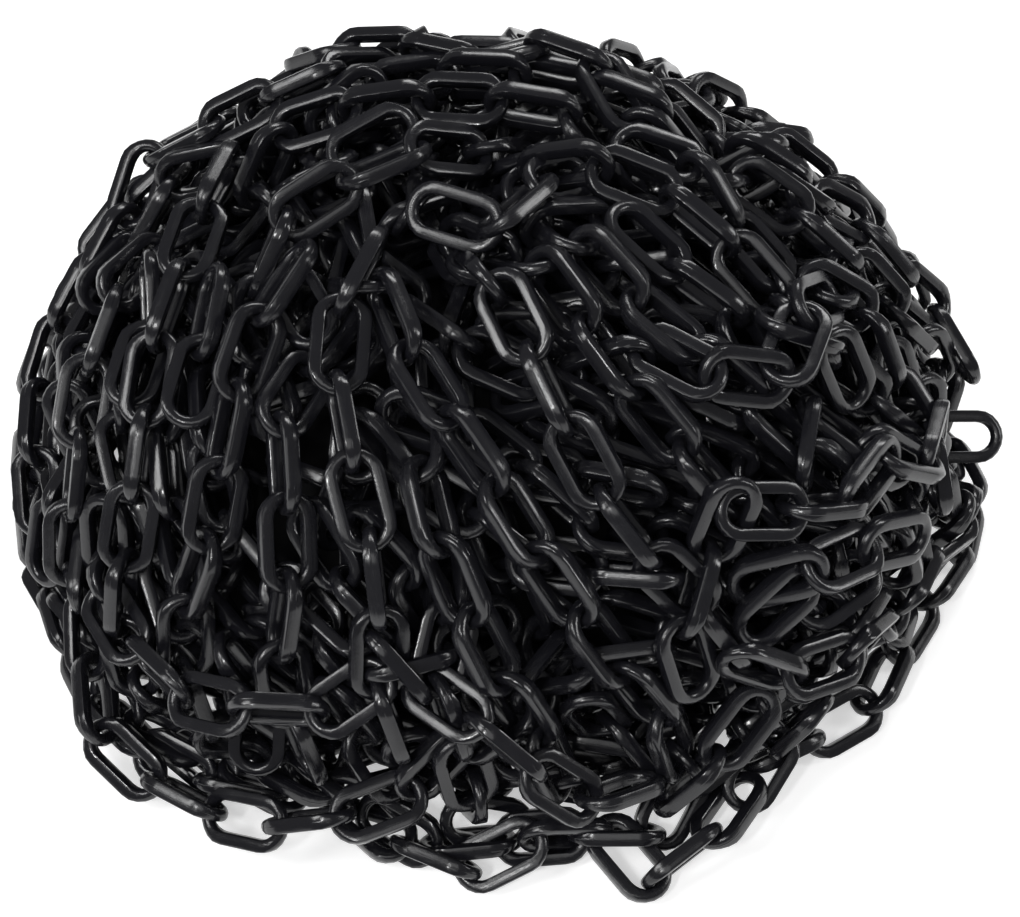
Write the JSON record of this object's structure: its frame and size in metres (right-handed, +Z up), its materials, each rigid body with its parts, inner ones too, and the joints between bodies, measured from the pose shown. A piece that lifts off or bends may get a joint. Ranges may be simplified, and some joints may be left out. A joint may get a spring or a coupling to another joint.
{
  "type": "heap of plastic chain",
  "caption": "Loose dome-shaped heap of black plastic link chain, with runs of links draped over its sides and lying round its foot.",
  "frame": {"origin": "centre of the heap's flat base, on the floor", "axes": "+Z up, +X along the heap's longer width, -Y towards the side that the picture shows"},
  "size_m": [0.4501, 0.4105, 0.2157],
  "materials": {
    "chain_plastic": "glossy moulded black",
    "hidden_links": "dull black"
  },
  "bodies": {
    "root": {"back_drape_1": "chain_plastic", "back_drape_2": "chain_plastic", "back_drape_3": "chain_plastic", "back_drape_4": "chain_plastic", "back_drape_5": "chain_plastic", "back_drape_6": "chain_plastic", "base_run_back": "chain_plastic", "base_run_back_left": "chain_plastic", "base_run_back_right": "chain_plastic", "base_run_front": "chain_plastic", "base_run_left": "chain_plastic", "base_run_right": "chain_plastic", "crest_run_1": "chain_plastic", "crest_run_2": "chain_plastic", "crest_run_3": "chain_plastic", "crest_run_4": "chain_plastic", "crest_run_5": "chain_plastic", "crest_strand": "chain_plastic", "edge_strand_1": "chain_plastic", "edge_strand_2": "chain_plastic", "foot_strand_1": "chain_plastic", "foot_strand_2": "chain_plastic", "foot_strand_3": "chain_plastic", "foot_strand_4": "chain_plastic", "front_drape_1": "chain_plastic", "front_drape_2": "chain_plastic", "front_drape_3": "chain_plastic", "front_drape_4": "chain_plastic", "front_lower_1": "chain_plastic", "front_lower_2": "chain_plastic", "hidden_links_core": "hidden_links", "left_drape_1": "chain_plastic", "left_drape_2": "chain_plastic", "left_drape_3": "chain_plastic", "left_drape_4": "chain_plastic", "right_drape_1": "chain_plastic", "right_drape_2": "chain_plastic", "right_drape_3": "chain_plastic", "right_drape_4": "chain_plastic", "right_drape_5": "chain_plastic", "right_lower_1": "chain_plastic", "shoulder_strand": "chain_plastic", "tangle_strand_1": "chain_plastic", "tangle_strand_2": "chain_plastic", "tangle_strand_3": "chain_plastic", "tangle_strand_4": "chain_plastic"}
  },
  "joints": []
}
